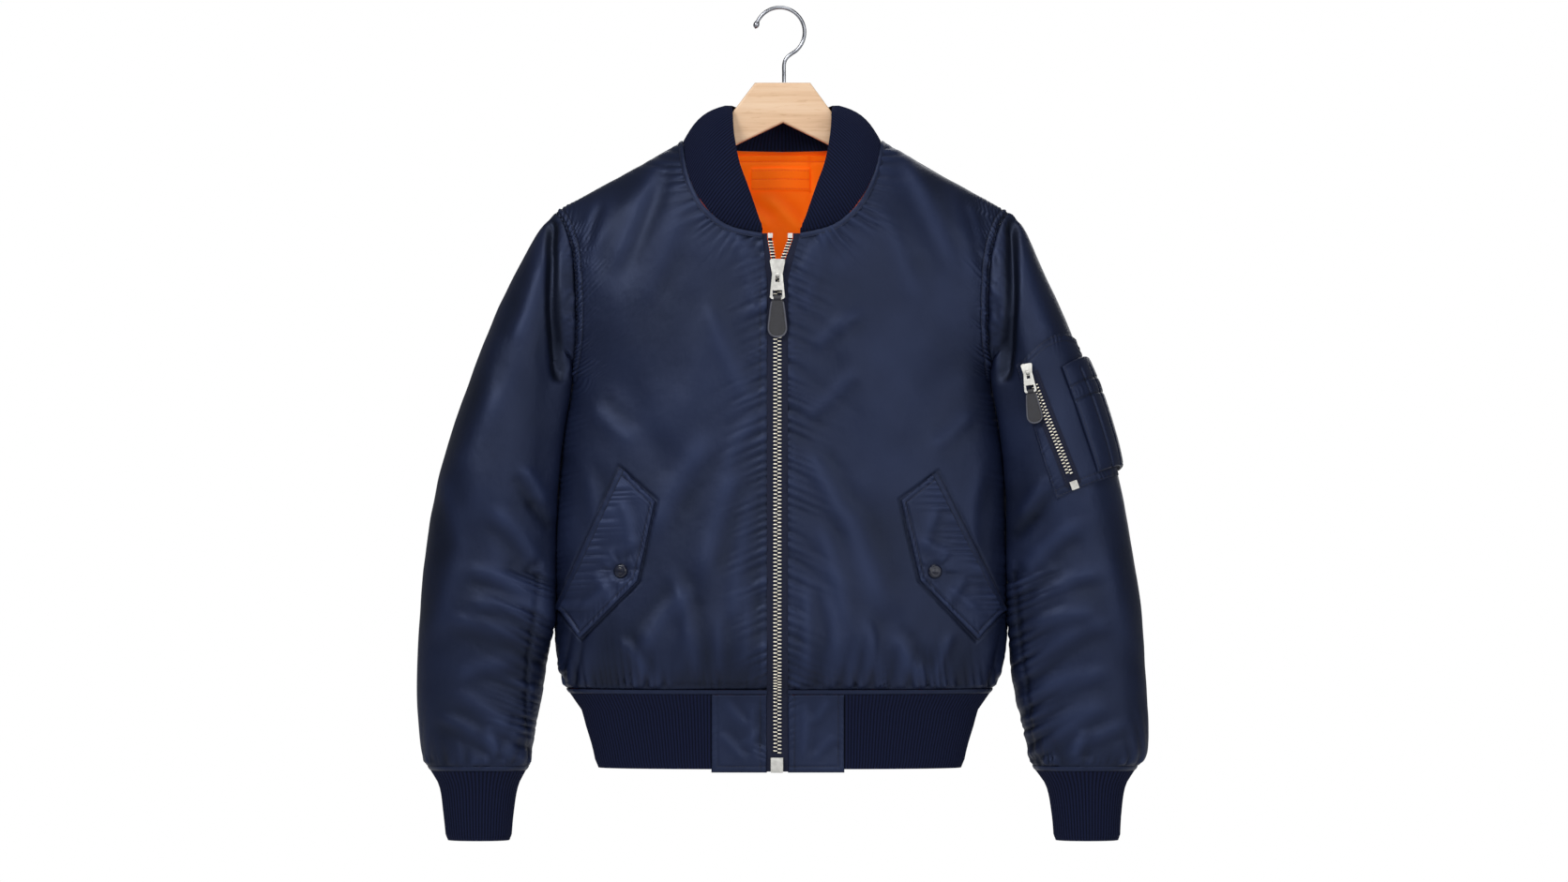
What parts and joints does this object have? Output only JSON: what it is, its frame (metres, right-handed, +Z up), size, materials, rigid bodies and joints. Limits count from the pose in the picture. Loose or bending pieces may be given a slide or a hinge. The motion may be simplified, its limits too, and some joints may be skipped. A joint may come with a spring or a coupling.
{
  "type": "bomber jacket on hanger",
  "caption": "Zip-front nylon bomber jacket with ribbed collar, cuffs and hem, flap pockets and a sleeve pocket, hanging on a wooden hanger.",
  "frame": {"origin": "inside top of the hanger's hook, where a rail carries it", "axes": "+Z up, the front faces -Y, +X to the viewer's right as seen from the front"},
  "size_m": [0.7784, 0.1675, 0.8899],
  "materials": {
    "nylon": "satin flight nylon, navy",
    "knit": "dark navy ribbed knit, matt",
    "lining": "bright orange satin lining",
    "tape": "woven zip tape, navy",
    "zip_metal": "polished pale zip metal",
    "pull_leather": "dark charcoal leather",
    "snap_metal": "gloss navy snap cap",
    "beech": "clear satin varnish over pale beech",
    "hook_wire": "bright plated wire"
  },
  "bodies": {
    "root": {"front_left": "nylon", "front_right": "nylon", "back": "nylon", "sleeve_left": "nylon", "sleeve_right": "nylon", "cuff_band_left": "nylon", "cuff_band_right": "nylon", "cuff_rib_left": "knit", "cuff_rib_right": "knit", "collar_rib": "knit", "collar_binding": "nylon", "hem_band": "nylon", "hem_rib": "knit", "hem_tab_left": "nylon", "hem_tab_right": "nylon", "lining_back": "lining", "lining_label": "lining", "zip_tape_left": "tape", "zip_tape_right": "tape", "zip_chain": "zip_metal", "zip_open_left": "zip_metal", "zip_open_right": "zip_metal", "zip_stop_left": "zip_metal", "zip_stop_right": "zip_metal", "zip_box": "zip_metal", "zip_slider": "zip_metal", "pocket_flap_left": "nylon", "pocket_flap_right": "nylon", "pocket_welt_left": "nylon", "pocket_welt_right": "nylon", "snap_left": "snap_metal", "snap_right": "snap_metal", "sleeve_pocket": "nylon", "pen_pocket": "nylon", "sleeve_zip_tape": "tape", "sleeve_zip_chain": "zip_metal", "sleeve_zip_slider": "zip_metal", "sleeve_zip_box": "zip_metal", "hanger": "beech", "hook": "hook_wire"},
    "main_tab": {"zip_tab": "zip_metal"},
    "main_pull": {"zip_leather": "pull_leather"},
    "sleeve_tab": {"sleeve_zip_tab": "zip_metal"},
    "sleeve_pull": {"sleeve_zip_leather": "pull_leather"}
  },
  "joints": [
    {"name": "main_tab_swing", "type": "hinge", "parent": "root", "child": "main_tab", "pos_m": [-0.005, -0.07567, -0.2845], "axis": [-1, 0, 0], "range_deg": [0, 150]},
    {"name": "main_pull_swing", "type": "hinge", "parent": "main_tab", "child": "main_pull", "pos_m": [-0.005, -0.07567, -0.30925], "axis": [-1, 0, 0], "range_deg": [0, 60]},
    {"name": "sleeve_tab_swing", "type": "hinge", "parent": "root", "child": "sleeve_tab", "pos_m": [0.25964, -0.06575, -0.38798], "axis": [-0.9872, 0, -0.1593], "range_deg": [0, 150]},
    {"name": "sleeve_pull_swing", "type": "hinge", "parent": "sleeve_tab", "child": "sleeve_pull", "pos_m": [0.26287, -0.06575, -0.40801], "axis": [-0.9872, 0, -0.1593], "range_deg": [0, 60]}
  ]
}
